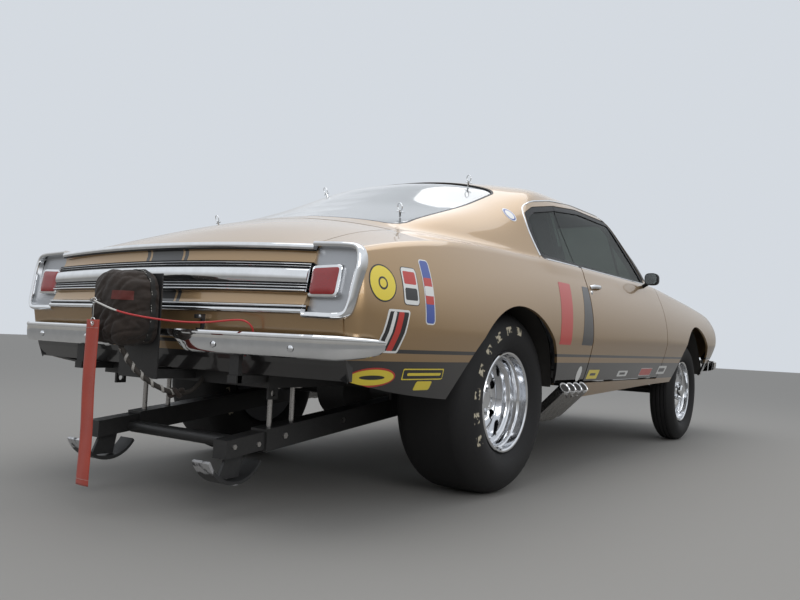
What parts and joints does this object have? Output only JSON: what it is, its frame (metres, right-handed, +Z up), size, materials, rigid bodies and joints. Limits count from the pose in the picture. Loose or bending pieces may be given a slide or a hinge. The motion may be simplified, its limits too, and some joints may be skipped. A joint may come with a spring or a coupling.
{
  "type": "rear-engined wheelstanding drag racing coupe",
  "caption": "Late-1960s fastback coupe built as a rear-engined wheelstander with wide slicks, wheelie bars with skid shoes and a braking parachute pack.",
  "frame": {"origin": "on the ground, midway along the length and width of the car", "axes": "-Y towards the nose, +X towards the left side of the car, +Z up"},
  "size_m": [1.83, 5.064, 1.4119],
  "materials": {
    "bare_steel": "worn",
    "black_plastic": "matt",
    "black_steel": "satin",
    "cable_jacket": "satin",
    "cast_metal": "satin",
    "chrome_trim": "mirror",
    "gold_paint": "metallic gloss",
    "lamp_lens": "gloss",
    "pack_cloth": "matt",
    "polished_alloy": "polished",
    "ribbon_cloth": "matt",
    "seat_trim": "matt",
    "sheet_aluminium": "satin",
    "tyre_rubber": "matt",
    "window_glass": "clear"
  },
  "bodies": {
    "body": {"bulkheads": "sheet_aluminium", "cage_hoop": "black_steel", "cowl_panel": "gold_paint", "crossmembers": "black_steel", "dash_panel": "black_plastic", "deck_surround": "gold_paint", "driver_seat": "seat_trim", "engine_block": "cast_metal", "engine_covers": "gold_paint", "engine_injector": "cast_metal", "fenders": "gold_paint", "floor_pan": "sheet_aluminium", "frame_rails": "black_steel", "front_axle": "black_steel", "front_bumper": "chrome_trim", "grille": "chrome_trim", "headers": "bare_steel", "hinge_posts": "black_steel", "lamps": "lamp_lens", "nose_panel": "gold_paint", "parachute_cable": "cable_jacket", "parachute_mount": "black_steel", "parachute_pack": "pack_cloth", "parachute_pin": "bare_steel", "quarter_glass": "window_glass", "quarter_panels": "gold_paint", "rear_axle": "black_steel", "rear_bumper": "chrome_trim", "rear_glass": "window_glass", "ribbon": "ribbon_cloth", "rocker_panels": "gold_paint", "roll_pan": "gold_paint", "roof": "gold_paint", "steering_wheel": "black_plastic", "tail_panel": "gold_paint", "tether_strap": "pack_cloth", "wheel_tubs": "sheet_aluminium", "wheelie_arms": "black_steel", "wheelie_cross_tube": "black_steel", "wheelie_rods": "bare_steel", "wheelie_skids": "bare_steel", "windshield": "window_glass"},
    "wheel_rear_left": {"rear_tyre_left": "tyre_rubber", "rear_wheel_left": "polished_alloy"},
    "wheel_rear_right": {"rear_tyre_right": "tyre_rubber", "rear_wheel_right": "polished_alloy"},
    "wheel_front_left": {"front_tyre_left": "tyre_rubber", "front_wheel_left": "polished_alloy"},
    "wheel_front_right": {"front_tyre_right": "tyre_rubber", "front_wheel_right": "polished_alloy"},
    "steer_left": {"knuckle_left": "black_steel"},
    "steer_right": {"knuckle_right": "black_steel"},
    "door_left": {"door_left": "gold_paint", "door_glass_left": "window_glass"},
    "door_right": {"door_right": "gold_paint", "door_glass_right": "window_glass"},
    "hood": {"hood": "gold_paint"},
    "deck_lid": {"deck_lid": "gold_paint"}
  },
  "joints": [
    {"name": "wheel_rear_left_spin", "type": "hinge", "parent": "body", "child": "wheel_rear_left", "pos_m": [0.65, 1.18, 0.368], "axis": [1, 0, 0], "continuous": true},
    {"name": "steer_left_turn", "type": "hinge", "parent": "body", "child": "steer_left", "pos_m": [0.622, -1.563, 0.331], "axis": [0, 0, 1], "range_deg": [-28, 28]},
    {"name": "wheel_front_left_spin", "type": "hinge", "parent": "steer_left", "child": "wheel_front_left", "pos_m": [0.732, -1.563, 0.331], "axis": [1, 0, 0], "continuous": true},
    {"name": "door_left_hinge", "type": "hinge", "parent": "body", "child": "door_left", "pos_m": [0.885, -0.735, 0.67], "axis": [0, 0, -1], "range_deg": [0, 65]},
    {"name": "wheel_rear_right_spin", "type": "hinge", "parent": "body", "child": "wheel_rear_right", "pos_m": [-0.65, 1.18, 0.368], "axis": [1, 0, 0], "continuous": true},
    {"name": "steer_right_turn", "type": "hinge", "parent": "body", "child": "steer_right", "pos_m": [-0.622, -1.563, 0.331], "axis": [0, 0, 1], "range_deg": [-28, 28]},
    {"name": "wheel_front_right_spin", "type": "hinge", "parent": "steer_right", "child": "wheel_front_right", "pos_m": [-0.732, -1.563, 0.331], "axis": [1, 0, 0], "continuous": true},
    {"name": "door_right_hinge", "type": "hinge", "parent": "body", "child": "door_right", "pos_m": [-0.885, -0.735, 0.67], "axis": [0, 0, 1], "range_deg": [0, 65]},
    {"name": "hood_hinge", "type": "hinge", "parent": "body", "child": "hood", "pos_m": [0, -0.86, 0.957], "axis": [-1, 0, 0], "range_deg": [0, 50]},
    {"name": "deck_lid_hinge", "type": "hinge", "parent": "body", "child": "deck_lid", "pos_m": [0, 1.67, 1.01], "axis": [1, 0, 0], "range_deg": [0, 45]}
  ],
  "couplings": [
    {"joint": "steer_right_turn", "follows": "steer_left_turn", "ratio": 1}
  ]
}
